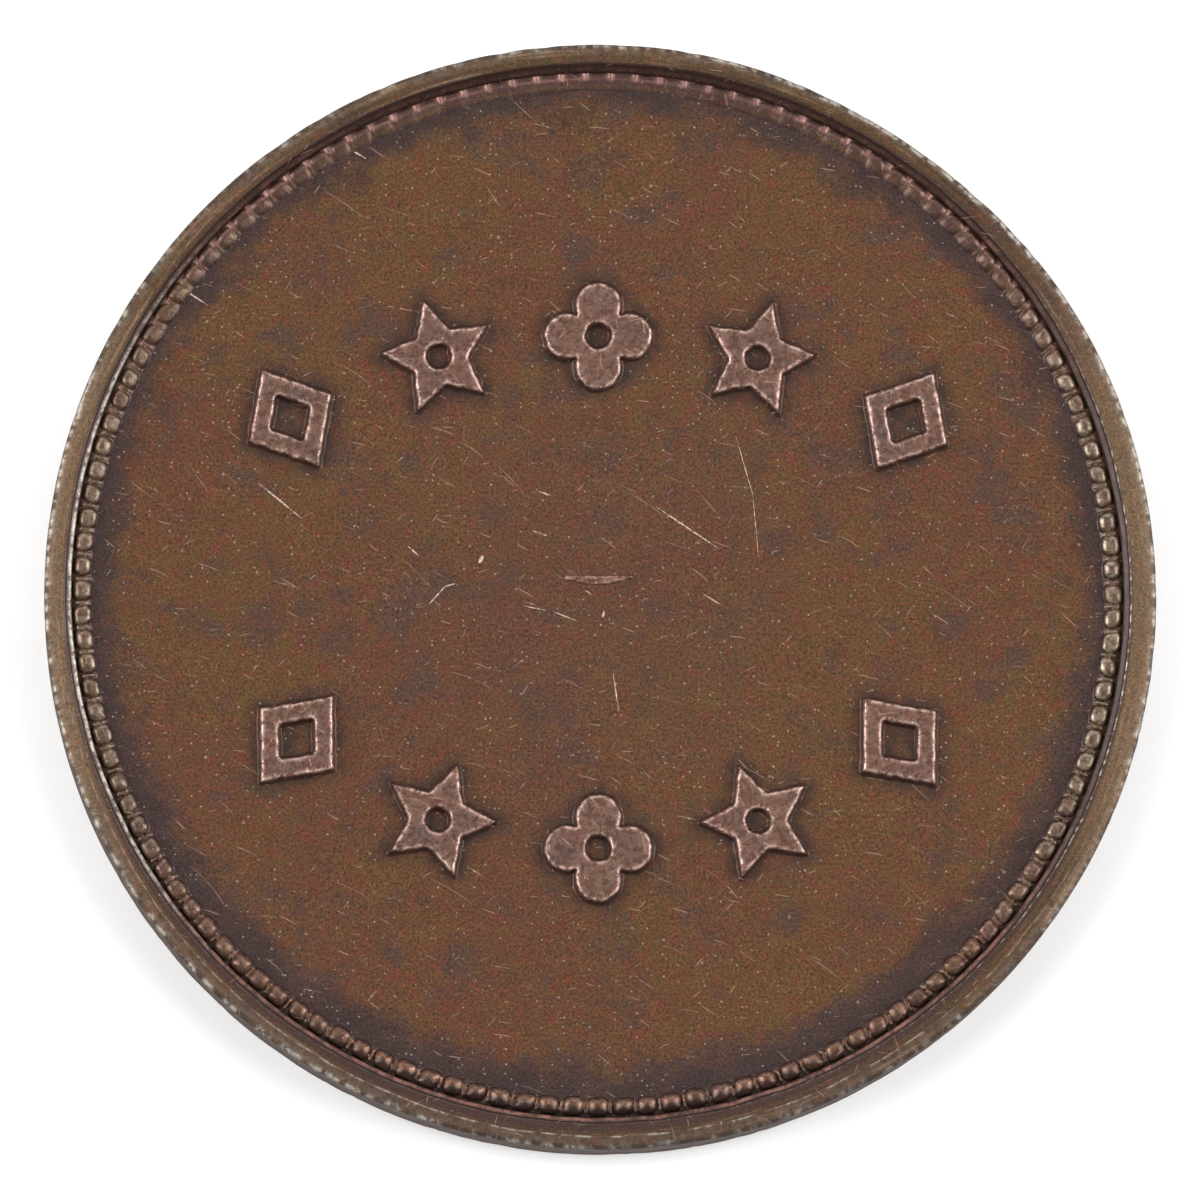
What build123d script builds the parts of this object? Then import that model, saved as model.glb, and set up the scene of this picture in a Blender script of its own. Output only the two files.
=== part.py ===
"""Transit token: a struck bronze flan with a raised rim, a ring of beads and ten raised
ornaments on each face, in millimetres.

The origin is on the flan's axis, at the base of the back rim. +Z points out of the front
face and +Y is the top of its design. The back face is the front turned over about X.
"""

import math
import os

from build123d import *

os.makedirs("parts", exist_ok=True)

# Flan and rims
token_diameter = 25.0
token_thickness = 1.7
field_recess = 0.32  # each field lies this far below its rim
corner_radius = 0.1  # rounding of the outer edge, top and bottom
flan_radius = token_diameter / 2
half_thickness = token_thickness / 2
field_height = half_thickness - field_recess  # from the token's mid-plane

# Where the die's centre lies on each face: the strike is a little off the flan's axis
die_offset_x = -0.06
die_offset_y = 0.07

# Rim section, as radii about the die's centre and heights above the field
groove_foot_radius = 11.81
groove_top_radius = 11.84
groove_top_height = 0.18
bevel_top_radius = 11.95
bevel_top_height = 0.25
inner_band_radius = 11.97

# Crease in the rim's top, as radii about the flan's own axis
crease_inner_radius = 12.17
crease_outer_radius = 12.19
inner_band_drop = 0.02  # the band inside the crease lies this far below the outer one

# Border of beads
bead_count = 132
bead_circle_radius = 11.58
bead_base_radius = 0.225
bead_height = 0.19

# Ornaments: two arcs of five slots, tops outwards above and inwards below
upper_arc_centre_y = -7.85
upper_arc_radius = 13.65
upper_arc_step = 15.25
lower_arc_centre_y = 4.83
lower_arc_radius = 10.61
lower_arc_step = 19.8
ornament_relief = 0.22
ornament_draft = 18.0  # degrees off upright, so that the die lets go

lozenge_half_width = 1.12
lozenge_half_height = 1.32
lozenge_eye_share = 0.42  # pierced middle, as a share of the outline

star_points = 5
star_tip_radius = 1.4
star_waist_radius = 0.7
star_eye_radius = 0.24

rosette_lobes = 4
rosette_lobe_radius = 0.55
rosette_lobe_distance = 0.7
rosette_eye_radius = 0.25

# Short raised dash in the middle of the field, worn low
dash_length = 1.55
dash_width = 0.22
dash_end_width = 0.12
dash_relief = 0.06
dash_x = 0.02
dash_y = 0.29

faces = {
    "front": Plane((0, 0, half_thickness), x_dir=(1, 0, 0), z_dir=(0, 0, 1)),
    "back": Plane((0, 0, half_thickness), x_dir=(1, 0, 0), z_dir=(0, 0, -1)),
}
ornament_row = [
    ("lozenge_left", "lozenge"),
    ("star_left", "star"),
    ("rosette", "rosette"),
    ("star_right", "star"),
    ("lozenge_right", "lozenge"),
]


def plane_on(face, x, y, height, turn=0.0):
    """Plane over a face, placed from the die's centre and turned about the face's normal."""
    place = Location((x + die_offset_x, y + die_offset_y, height), (0, 0, turn))
    return Plane(face.location * place)


def section_plane(centre):
    """Upright plane through a face plane's centre: x runs outwards, y out of the face."""
    return Plane(centre.origin, x_dir=centre.x_dir, z_dir=-centre.y_dir)


def slot_plane(face, arc, slot):
    """Field plane under one ornament. Slots run from -2 on the left to 2 on the right."""
    if arc == "upper":
        angle = slot * upper_arc_step
        x = upper_arc_radius * math.sin(math.radians(angle))
        y = upper_arc_centre_y + upper_arc_radius * math.cos(math.radians(angle))
        return plane_on(face, x, y, field_height, turn=-angle)
    angle = slot * lower_arc_step
    x = lower_arc_radius * math.sin(math.radians(angle))
    y = lower_arc_centre_y - lower_arc_radius * math.cos(math.radians(angle))
    return plane_on(face, x, y, field_height, turn=angle)


def finish(builder, name):
    """Label one sub-part and write it."""
    builder.part.label = name
    export_step(builder.part, f"parts/{name}.step")


# Flan: the disc between the two fields
with BuildPart() as flan:
    with BuildSketch(Plane.XY.offset(field_recess)):
        Circle(flan_radius)
    extrude(amount=2 * field_height)
finish(flan, "flan")


def make_rim(face, name):
    """Raised rim: a disc and its crease on the flan's axis, hollowed about the die's axis."""
    flan_section = section_plane(face)
    die_section = section_plane(plane_on(face, 0, 0, 0))
    with BuildPart() as rim:
        with BuildSketch(face.offset(field_height)):
            Circle(flan_radius)
        extrude(amount=field_recess)
        outer_edge = rim.edges().sort_by(Axis(face.origin, face.z_dir))[-1]
        fillet(outer_edge, radius=corner_radius)
        with BuildSketch(flan_section):
            with BuildLine():
                Polyline(
                    (0, half_thickness - inner_band_drop),
                    (crease_inner_radius, half_thickness - inner_band_drop),
                    (crease_outer_radius, half_thickness),
                    (crease_outer_radius, token_thickness),
                    (0, token_thickness),
                    close=True,
                )
            make_face()
        revolve(axis=Axis(face.origin, face.z_dir), mode=Mode.SUBTRACT)
        with BuildSketch(die_section):
            with BuildLine():
                Polyline(
                    (0, field_height),
                    (groove_foot_radius, field_height),
                    (groove_top_radius, field_height + groove_top_height),
                    (bevel_top_radius, field_height + bevel_top_height),
                    (inner_band_radius, half_thickness - inner_band_drop),
                    (inner_band_radius, token_thickness),
                    (0, token_thickness),
                    close=True,
                )
            make_face()
        revolve(axis=Axis(die_section.origin, face.z_dir), mode=Mode.SUBTRACT)
    finish(rim, name)


def make_beads(face, name):
    """Ring of low round beads just inside the rim, each a solid of its own."""
    dome_radius = (bead_base_radius**2 + bead_height**2) / (2 * bead_height)
    base_latitude = math.degrees(math.asin((dome_radius - bead_height) / dome_radius))
    with BuildPart(plane_on(face, 0, 0, field_height)) as beads:
        with PolarLocations(bead_circle_radius, bead_count):
            Sphere(
                dome_radius,
                arc_size1=base_latitude,
                align=(Align.CENTER, Align.CENTER, Align.MIN),
            )
    finish(beads, name)


def lozenge_corners(share):
    """Corners of the lozenge, or of its eye, from the right tip round."""
    half_width = share * lozenge_half_width
    half_height = share * lozenge_half_height
    return [(half_width, 0), (0, half_height), (-half_width, 0), (0, -half_height)]


def star_corners():
    """Tips and waists of the star by turns, from the top tip round."""
    corners = []
    for index in range(2 * star_points):
        radius = star_waist_radius if index % 2 else star_tip_radius
        angle = math.radians(90 + index * 180 / star_points)
        corners.append((radius * math.cos(angle), radius * math.sin(angle)))
    return corners


def draw_outline(shape):
    """Outline of a lozenge or a star, inside an open sketch, with its eye pierced."""
    if shape == "lozenge":
        Polygon(*lozenge_corners(1.0), align=None)
        Polygon(*lozenge_corners(lozenge_eye_share), align=None, mode=Mode.SUBTRACT)
    else:
        Polygon(*star_corners(), align=None)
        Circle(star_eye_radius, mode=Mode.SUBTRACT)


def make_ornament(base, shape, name):
    """Lozenge or star on its slot's plane, with a flat top and drafted flanks."""
    with BuildPart() as ornament:
        with BuildSketch(base):
            draw_outline(shape)
        extrude(amount=ornament_relief, taper=ornament_draft)
    finish(ornament, name)


def make_rosette(base, name):
    """Rosette on its slot's plane: drafted round lobes joined about a pierced core."""
    flank_run = ornament_relief * math.tan(math.radians(ornament_draft))
    upright = (Align.CENTER, Align.CENTER, Align.MIN)
    with BuildPart(base) as rosette:
        Box(rosette_lobe_distance, rosette_lobe_distance, ornament_relief, align=upright)
        with PolarLocations(rosette_lobe_distance, rosette_lobes):
            Cone(
                rosette_lobe_radius,
                rosette_lobe_radius - flank_run,
                ornament_relief,
                align=upright,
            )
        Cone(
            rosette_eye_radius - flank_run,
            rosette_eye_radius,
            ornament_relief,
            align=upright,
            mode=Mode.SUBTRACT,
        )
    finish(rosette, name)


def make_dash(face, name):
    """Short dash at the middle of the field, a little thicker in its middle."""
    with BuildPart() as dash:
        with BuildSketch(plane_on(face, dash_x, dash_y, field_height)):
            Polygon(
                (-dash_length / 2, -dash_end_width / 2),
                (0, -dash_width / 2),
                (dash_length / 2, -dash_end_width / 2),
                (dash_length / 2, dash_end_width / 2),
                (0, dash_width / 2),
                (-dash_length / 2, dash_end_width / 2),
                align=None,
            )
        extrude(amount=dash_relief, taper=ornament_draft)
    finish(dash, name)


for side, face in faces.items():
    make_rim(face, f"{side}_rim")
    make_beads(face, f"{side}_beads")
    make_dash(face, f"{side}_centre_dash")
    for arc in ("upper", "lower"):
        for index, (place, shape) in enumerate(ornament_row):
            base = slot_plane(face, arc, index - 2)
            if shape == "rosette":
                make_rosette(base, f"{side}_{arc}_{place}")
            else:
                make_ornament(base, shape, f"{side}_{arc}_{place}")
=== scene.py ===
# A struck bronze fare token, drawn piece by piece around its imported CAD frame.
# Settings are in millimetres and degrees. Blender's own units here are metres.

import math

import bmesh
import bpy
import numpy as np
from mathutils import Matrix, Vector


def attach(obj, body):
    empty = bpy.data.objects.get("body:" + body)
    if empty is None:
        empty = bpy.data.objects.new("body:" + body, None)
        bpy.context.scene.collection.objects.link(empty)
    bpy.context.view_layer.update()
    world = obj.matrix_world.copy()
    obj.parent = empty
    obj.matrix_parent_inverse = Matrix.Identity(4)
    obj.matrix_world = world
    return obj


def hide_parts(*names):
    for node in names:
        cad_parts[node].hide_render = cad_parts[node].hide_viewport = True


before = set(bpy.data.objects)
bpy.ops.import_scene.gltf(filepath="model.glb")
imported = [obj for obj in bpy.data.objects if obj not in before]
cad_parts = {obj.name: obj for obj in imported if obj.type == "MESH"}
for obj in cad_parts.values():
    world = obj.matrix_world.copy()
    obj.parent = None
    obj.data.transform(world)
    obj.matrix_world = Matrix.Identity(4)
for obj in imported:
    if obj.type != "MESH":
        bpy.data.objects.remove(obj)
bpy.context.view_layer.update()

mm = 0.001

token = {
    "radius": 12.5,
    "midHeight": 0.85,  # the mid-plane, over the floor
    "fieldHeight": 0.53,  # each field, over the mid-plane
    "dieCentre": (-0.06, 0.07),  # on each face, from the flan's axis
    "flatAngle": 55.0,  # worn flat on the outline, seen from the front
    "flatDepth": 0.116,
    "flatSpread": 18.0,
    "wobble": 0.012,
}

signs = {"front": 1.0, "back": -1.0}


def ripple(x, y, wavelength, waves, seed):
    # Smooth random waves, about -1 to 1, from a fixed seed
    draw = np.random.RandomState(seed)
    total = np.zeros_like(x)
    for _ in range(waves):
        heading = draw.uniform(0, 2 * math.pi)
        phase = draw.uniform(0, 2 * math.pi)
        pitch = 2 * math.pi / (wavelength * draw.uniform(0.6, 1.7))
        total += np.cos(pitch * (x * math.cos(heading) + y * math.sin(heading)) + phase)
    return total / math.sqrt(waves / 2)


def smoothStep(value, low, high):
    share = np.clip((value - low) / (high - low), 0, 1)
    return share * share * (3 - 2 * share)


def bell(angle, middle, spread):
    # A soft hump round one direction, given in degrees
    away = (np.degrees(angle) - middle + 180) % 360 - 180
    return np.exp(-((away / spread) ** 2))


def edgeLoss(angle):
    # How far the outline lies inside the full radius, by the angle seen from the front
    loss = token["flatDepth"] * bell(angle, token["flatAngle"], token["flatSpread"])
    wave = 0.5 + 0.3 * np.sin(3 * angle + 0.4) + 0.2 * np.sin(7 * angle + 2.1)
    return loss + token["wobble"] * wave * (1 - loss / token["flatDepth"])


def toToken(points, side):
    # x, y and height over the mid-plane on one face, to metres in the token's frame
    sign = signs[side]
    spots = np.array(points, float)
    spots[:, 1] *= sign
    spots[:, 2] = token["midHeight"] + sign * spots[:, 2]
    return spots * mm


def skin(rings, closed):
    # Faces between neighbouring rings, which may double or halve their points
    starts = np.concatenate(([0], np.cumsum([len(points) for points in rings])))
    faces = []
    pairs = list(zip(range(len(rings) - 1), range(1, len(rings))))
    if closed:
        pairs.append((len(rings) - 1, 0))
    for first, second in pairs:
        few, many = (first, second) if len(rings[first]) <= len(rings[second]) else (second, first)
        a, b, count = starts[few], starts[many], len(rings[few])
        step = np.arange(count)
        after = (step + 1) % count
        if len(rings[many]) == count:
            faces += np.column_stack((a + step, a + after, b + after, b + step)).tolist()
            continue
        twice, middle, last = 2 * step, 2 * step + 1, (2 * step + 2) % (2 * count)
        faces += np.column_stack((a + step, b + middle, b + twice)).tolist()
        faces += np.column_stack((a + step, a + after, b + middle)).tolist()
        faces += np.column_stack((a + after, b + last, b + middle)).tolist()
    return faces, starts


def makePiece(name, rings, side, marks, sharp, closed=True):
    # One mesh from rings of points on a face: a closed loop of rings, or one with a middle at each end.
    # marks are values kept on every point. Edges bent by more than sharp degrees stay crisp
    faces, starts = skin(rings, closed)
    points = np.concatenate(rings)
    marks = {key: np.concatenate(value) for key, value in marks.items()}
    if not closed:
        for end in (0, len(rings) - 1):
            hub = np.full(len(rings[end]), len(points))
            points = np.vstack((points, rings[end].mean(0)))
            for key, value in marks.items():
                marks[key] = np.append(value, value[starts[end]])
            step = np.arange(len(hub))
            after = (step + 1) % len(hub)
            faces += np.column_stack((hub, starts[end] + step, starts[end] + after)).tolist()
    mesh = bpy.data.meshes.new(name)
    mesh.from_pydata(toToken(points, side).tolist(), [], faces)
    work = bmesh.new()
    work.from_mesh(mesh)
    bmesh.ops.recalc_face_normals(work, faces=work.faces)
    work.to_mesh(mesh)
    work.free()
    for key, value in marks.items():
        layer = mesh.attributes.new(key, "FLOAT", "POINT")
        layer.data.foreach_set("value", np.asarray(value, np.float32))
    mesh.shade_smooth()
    mesh.set_sharp_from_angle(angle=math.radians(sharp))
    piece = bpy.data.objects.new(name, mesh)
    bpy.context.scene.collection.objects.link(piece)
    return piece


def settle(piece, node, material):
    # Puts a piece in the place of its CAD node
    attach(piece, "root")
    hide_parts(node)
    piece.data.materials.append(material)


def addNode(tree, kind, values=None, **settings):
    node = tree.nodes.new(kind)
    for key, value in settings.items():
        setattr(node, key, value)
    for key, value in (values or {}).items():
        if isinstance(value, bpy.types.NodeSocket):
            tree.links.new(value, node.inputs[key])
        else:
            node.inputs[key].default_value = value
    return node


def maths(tree, operation, *values, clamp=False):
    values = dict(enumerate(values))
    return addNode(tree, "ShaderNodeMath", values, operation=operation, use_clamp=clamp).outputs[0]


def plus(tree, first, second):
    return maths(tree, "ADD", first, second)


def minus(tree, first, second):
    return maths(tree, "SUBTRACT", first, second)


def times(tree, first, second):
    return maths(tree, "MULTIPLY", first, second)


def timesPlus(tree, value, factor, more):
    return maths(tree, "MULTIPLY_ADD", value, factor, more)


def largest(tree, masks):
    total = masks[0]
    for mask in masks[1:]:
        total = maths(tree, "MAXIMUM", total, mask)
    return total


def vectorMaths(tree, operation, *values):
    values = dict(enumerate(values))
    node = addNode(tree, "ShaderNodeVectorMath", values, operation=operation)
    return node.outputs["Value" if operation in ("LENGTH", "DISTANCE", "DOT_PRODUCT") else "Vector"]


def scaleVector(tree, value, factor):
    values = {0: value, "Scale": factor}
    return addNode(tree, "ShaderNodeVectorMath", values, operation="SCALE").outputs[0]


def axes(tree, value):
    # The x, y and z of a vector
    return addNode(tree, "ShaderNodeSeparateXYZ", {0: value}).outputs


def joinAxes(tree, values):
    return addNode(tree, "ShaderNodeCombineXYZ", values).outputs[0]


def blendColour(tree, share, first, second, mode="MIX"):
    values = {0: share, 6: first, 7: second}
    node = addNode(tree, "ShaderNodeMix", values, data_type="RGBA", blend_type=mode)
    return node.outputs[2]


def ease(tree, value, low, high, bottom=0.0, top=1.0):
    values = {"Value": value, "From Min": low, "From Max": high, "To Min": bottom, "To Max": top}
    return addNode(tree, "ShaderNodeMapRange", values, interpolation_type="SMOOTHSTEP").outputs[0]


def noiseAt(tree, point, scale, detail=3.0, rough=0.55, shift=None):
    # Soft noise with its scale per millimetre. shift takes it from somewhere else
    if shift:
        point = vectorMaths(tree, "ADD", point, shift)
    values = {"Vector": point, "Scale": scale, "Detail": detail, "Roughness": rough}
    return addNode(tree, "ShaderNodeTexNoise", values).outputs["Fac"]


def newGroup(name, inputs, outputs):
    # inputs: name to (socket kind, default). outputs: name to socket kind
    group = bpy.data.node_groups.new(name, "ShaderNodeTree")
    for label, (kind, default) in inputs.items():
        socket = group.interface.new_socket(label, in_out="INPUT", socket_type=kind)
        if default is not None:
            socket.default_value = default
    for label, kind in outputs.items():
        group.interface.new_socket(label, in_out="OUTPUT", socket_type=kind)
    return group, group.nodes.new("NodeGroupInput").outputs


def closeGroup(group, results):
    end = group.nodes.new("NodeGroupOutput")
    for label, result in results.items():
        group.links.new(result, end.inputs[label])
    return group


def placeGroup(tree, group, values=None):
    return addNode(tree, "ShaderNodeGroup", values, node_tree=group).outputs


number, colour, vector = "NodeSocketFloat", "NodeSocketColor", "NodeSocketVector"


def tint(red, green, blue):
    # Screen colour, 0 to 255, to the linear colour that a shader takes
    linear = []
    for part in (red, green, blue):
        share = part / 255
        linear.append(share / 12.92 if share <= 0.04045 else ((share + 0.055) / 1.055) ** 2.4)
    return (*linear, 1.0)


def makePlaceEffect():
    # Where a point is on the token, in millimetres from the mid-plane's centre
    group, _ = newGroup("tokenPlace", {}, {"Point": vector, "Radius": number, "Around": vector})
    here = group.nodes.new("ShaderNodeTexCoord").outputs["Object"]
    point = vectorMaths(group, "SUBTRACT", scaleVector(group, here, 1 / mm), (0.0, 0.0, token["midHeight"]))
    # Each face's design has its own upright, which is turned over on the back
    x, y, z = axes(group, point)
    facing = timesPlus(group, maths(group, "GREATER_THAN", z, 0.0), 2.0, -1.0)
    offX = minus(group, x, token["dieCentre"][0])
    offY = minus(group, times(group, facing, y), token["dieCentre"][1])
    flat = joinAxes(group, {0: offX, 1: offY})
    radius = vectorMaths(group, "LENGTH", flat)
    heading = vectorMaths(group, "NORMALIZE", flat)
    return closeGroup(group, {"Point": point, "Radius": radius, "Around": heading})


def makePatinaEffect():
    # Mottled brown toning: olive, red-brown and purple-grey clouds with a fine grain
    shades = {label: (colour, None) for label in ("Brown", "Olive", "Red Brown", "Purple Grey")}
    inputs = {"Point": (vector, None), **shades, "Olive Share": (number, 0.5)}
    group, given = newGroup("patina", inputs, {"Color": colour, "Cloud": number, "Grain": number})
    point = given["Point"]
    broad = noiseAt(group, point, 0.28)
    cloud = noiseAt(group, point, 1.9, 4.0, 0.6)
    blotch = noiseAt(group, point, 2.9, shift=(31.0, 7.0, 3.0))
    stain = noiseAt(group, point, 1.1, 5.0, 0.62, shift=(5.0, 57.0, 9.0))
    grain = noiseAt(group, point, 17.0, 2.0, 0.9)
    oliveShare = times(group, ease(group, broad, 0.38, 0.62), given["Olive Share"])
    oliveShare = maths(group, "ADD", oliveShare, ease(group, cloud, 0.48, 0.66, 0.0, 0.45), clamp=True)
    shade = blendColour(group, oliveShare, given["Brown"], given["Olive"])
    shade = blendColour(group, ease(group, blotch, 0.50, 0.68, 0.0, 0.75), shade, given["Red Brown"])
    shade = blendColour(group, ease(group, stain, 0.49, 0.68, 0.0, 0.65), shade, given["Purple Grey"])
    return closeGroup(group, {"Color": shade, "Cloud": cloud, "Grain": grain})


def makeGrainEffect():
    # Fine light and dark grain with a little colour in it, laid over a shade
    inputs = {"Color": (colour, None), "Point": (vector, None), "Grain": (number, None), "Amount": (number, 0.3)}
    group, given = newGroup("grainOver", inputs, {"Color": colour})
    level = ease(group, given["Grain"], 0.25, 0.75, -1.0, 1.0)
    level = timesPlus(group, level, given["Amount"], 1.0)
    shade = vectorMaths(group, "MULTIPLY", given["Color"], joinAxes(group, {0: level, 1: level, 2: level}))
    values = {"Vector": given["Point"], "Scale": 16.0, "Detail": 1.0}
    fleck = addNode(group, "ShaderNodeTexNoise", values).outputs["Color"]
    fleck = blendColour(group, times(group, given["Amount"], 0.62), (0.5, 0.5, 0.5, 1.0), fleck)
    return closeGroup(group, {"Color": blendColour(group, 0.8, shade, fleck, "OVERLAY")})


def makeHairlineEffect():
    # One short, slightly bowed scratch in some of the cells of a scattered pattern
    inputs = {
        "Point": (vector, None),
        "Cells": (number, 1.0),  # per millimetre
        "Shift": (number, 0.0),
        "Share": (number, 0.5),  # of the cells that have a scratch
        "Angle": (number, -25.0),
        "Spread": (number, 30.0),
        "Half Length": (number, 0.3),
        "Half Width": (number, 0.015),
    }
    group, given = newGroup("hairlines", inputs, {"Mask": number})
    shift = joinAxes(group, {0: given["Shift"], 1: given["Shift"]})
    shifted = vectorMaths(group, "ADD", given["Point"], shift)
    values = {"Vector": shifted, "Scale": given["Cells"]}
    cell = addNode(group, "ShaderNodeTexVoronoi", values, voronoi_dimensions="2D").outputs
    dice = addNode(group, "ShaderNodeSeparateColor", {0: cell["Color"]}).outputs
    turn = timesPlus(group, dice[0], 2.0, -1.0)
    turn = maths(group, "RADIANS", timesPlus(group, turn, given["Spread"], given["Angle"]))
    cosine, sine = maths(group, "COSINE", turn), maths(group, "SINE", turn)
    gap = axes(group, vectorMaths(group, "SUBTRACT", shifted, cell["Position"]))
    along = plus(group, times(group, gap[0], cosine), times(group, gap[1], sine))
    across = minus(group, times(group, gap[1], cosine), times(group, gap[0], sine))
    bow = times(group, times(group, along, along), minus(group, dice[2], 0.5))
    across = maths(group, "ABSOLUTE", timesPlus(group, bow, 0.5, across))
    longways = maths(group, "DIVIDE", maths(group, "ABSOLUTE", along), given["Half Length"])
    longways = maths(group, "DIVIDE", longways, timesPlus(group, dice[2], 0.7, 0.4))
    sideways = maths(group, "DIVIDE", across, given["Half Width"])
    mask = times(group, ease(group, longways, 1.0, 0.4), ease(group, sideways, 1.0, 0.3))
    chosen = maths(group, "LESS_THAN", dice[1], given["Share"])
    return closeGroup(group, {"Mask": times(group, mask, chosen)})


def makeSpeckEffect():
    # Small pits and dust marks, of mixed sizes and strengths
    inputs = {"Point": (vector, None), "Cells": (number, 2.5), "Radius": (number, 0.03), "Share": (number, 0.7)}
    group, given = newGroup("specks", inputs, {"Mask": number})
    cell = addNode(group, "ShaderNodeTexVoronoi", {"Vector": given["Point"], "Scale": given["Cells"]}).outputs
    dice = addNode(group, "ShaderNodeSeparateColor", {0: cell["Color"]}).outputs
    size = times(group, given["Radius"], timesPlus(group, dice[0], 0.95, 0.25))
    reach = maths(group, "DIVIDE", maths(group, "DIVIDE", cell["Distance"], given["Cells"]), size)
    chosen = maths(group, "LESS_THAN", dice[1], given["Share"])
    strength = timesPlus(group, times(group, dice[2], dice[2]), 0.85, 0.15)
    return closeGroup(group, {"Mask": times(group, times(group, ease(group, reach, 1.0, 0.4), chosen), strength)})


def makeMarkEffect():
    # One scratch between two points of a face, narrower at its ends
    inputs = {label: (vector, None) for label in ("Point", "Start", "Finish")}
    group, given = newGroup("scratchLine", {**inputs, "Half Width": (number, 0.02)}, {"Mask": number})
    flat = vectorMaths(group, "MULTIPLY", given["Point"], (1.0, 1.0, 0.0))
    run = vectorMaths(group, "SUBTRACT", given["Finish"], given["Start"])
    gap = vectorMaths(group, "SUBTRACT", flat, given["Start"])
    length = vectorMaths(group, "DOT_PRODUCT", run, run)
    share = maths(group, "DIVIDE", vectorMaths(group, "DOT_PRODUCT", gap, run), length)
    share = maths(group, "MAXIMUM", maths(group, "MINIMUM", share, 1.0), 0.0)
    reach = vectorMaths(group, "DISTANCE", gap, scaleVector(group, run, share))
    taper = times(group, times(group, share, minus(group, 1.0, share)), 4.0)
    width = times(group, given["Half Width"], timesPlus(group, taper, 0.7, 0.3))
    return closeGroup(group, {"Mask": ease(group, maths(group, "DIVIDE", reach, width), 1.0, 0.3)})


placeEffect = makePlaceEffect()
patinaEffect = makePatinaEffect()
grainEffect = makeGrainEffect()
hairlineEffect = makeHairlineEffect()
speckEffect = makeSpeckEffect()
markEffect = makeMarkEffect()
print("effects built")


bronze = {
    "metallic": 0.60,
    "coat": 0.20,
    "coatRoughness": 0.40,
    "smoother": 0.06,  # how much rubbing takes off the roughness
    "edgeMetallic": -0.35,  # what the struck edge adds to each value
    "edgeCoat": -0.20,
    "edgeRoughness": 0.20,
    "bumpDistance": 0.02,
    "borderTone": tint(63, 43, 40),
    "copper": tint(190, 154, 136),
    "pale": tint(226, 208, 190),
    "edgeGrey": tint(50, 43, 35),
    "topBead": tint(82, 55, 51),
    "crease": tint(204, 196, 184),
    "dark": tint(42, 29, 28),
}

# Toning of the field, with radii from the die's centre
toning = {
    "inner": 10.58,
    "outer": 11.30,
    "ragged": 1.8,  # how far its inner edge wanders, from side to side
    "atFoot": 0.20,  # how much wider it is at the foot of the design
    "smudgeInner": 10.5,
    "smudgeOuter": 11.7,
    "smudgeRagged": 5.0,
    "smudgeShare": 0.6,
    "centreOuter": 7.0,
    "centreInner": 1.0,
    "centreShare": 0.35,
}

# Long marks on the front field: start, finish, half width
fieldMarks = [
    ((-7.70, 2.52), (-6.72, 1.72), 0.026),
    ((1.25, 2.02), (2.62, 1.10), 0.024),
    ((-3.86, -0.20), (-3.50, 0.20), 0.024),
    ((-3.50, 0.20), (-3.26, 0.27), 0.024),
    ((-2.73, 0.74), (-2.65, 0.90), 0.060),
    ((-1.40, 2.36), (-1.13, 2.27), 0.024),
    ((-1.52, 1.46), (-1.22, 1.36), 0.030),
    ((-4.34, 1.11), (-4.10, 0.90), 0.022),
    ((-1.70, -0.24), (-1.23, -0.33), 0.018),
    ((-1.07, -0.36), (-0.53, -0.57), 0.018),
    ((0.04, -0.48), (0.08, -0.33), 0.036),
    ((-0.35, 0.12), (-0.20, 0.03), 0.022),
    ((3.05, 3.60), (3.42, 2.30), 0.012),
    ((3.42, 2.30), (3.55, 0.90), 0.010),
    ((-9.95, 7.25), (-8.85, 6.55), 0.030),
    ((-6.05, 10.35), (-5.30, 9.90), 0.030),
    ((2.30, 0.05), (2.72, -0.20), 0.018),
    ((0.28, -1.75), (0.40, -2.60), 0.018),
]

# Scatterings of hairlines, each with its values in this order
hairlineValues = ("Cells", "Shift", "Share", "Angle", "Spread", "Half Length", "Half Width")
fieldHairlines = [
    (0.95, 0.0, 0.60, -24.0, 20.0, 0.30, 0.016),
    (1.50, 3.7, 0.42, 10.0, 50.0, 0.17, 0.014),
    (0.45, 9.1, 0.40, -34.0, 22.0, 0.70, 0.012),
]
reliefHairlines = [
    (1.60, 5.3, 0.60, -20.0, 60.0, 0.24, 0.016),
    (2.60, 1.9, 0.45, 30.0, 70.0, 0.12, 0.014),
]


def startMaterial(name, metallic, roughness):
    material = bpy.data.materials.new(name)
    material.use_nodes = True
    tree = material.node_tree
    tree.nodes.clear()
    shader = addNode(tree, "ShaderNodeBsdfPrincipled", {"Metallic": metallic, "Roughness": roughness})
    output = tree.nodes.new("ShaderNodeOutputMaterial")
    tree.links.new(shader.outputs[0], output.inputs["Surface"])
    return material, tree, shader


def kept(tree, name):
    # A value that makePiece kept on the mesh's points
    return addNode(tree, "ShaderNodeAttribute", attribute_name=name).outputs["Fac"]


def toneBeads(tree, look, shade):
    # Beads fade into the toning inside them, and are redder where the strike is weak
    toned = times(tree, kept(tree, "tone"), look["toned"])
    shade = blendColour(tree, toned, shade, bronze["borderTone"])
    return blendColour(tree, times(tree, kept(tree, "weak"), 0.9), shade, bronze["topBead"])


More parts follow.
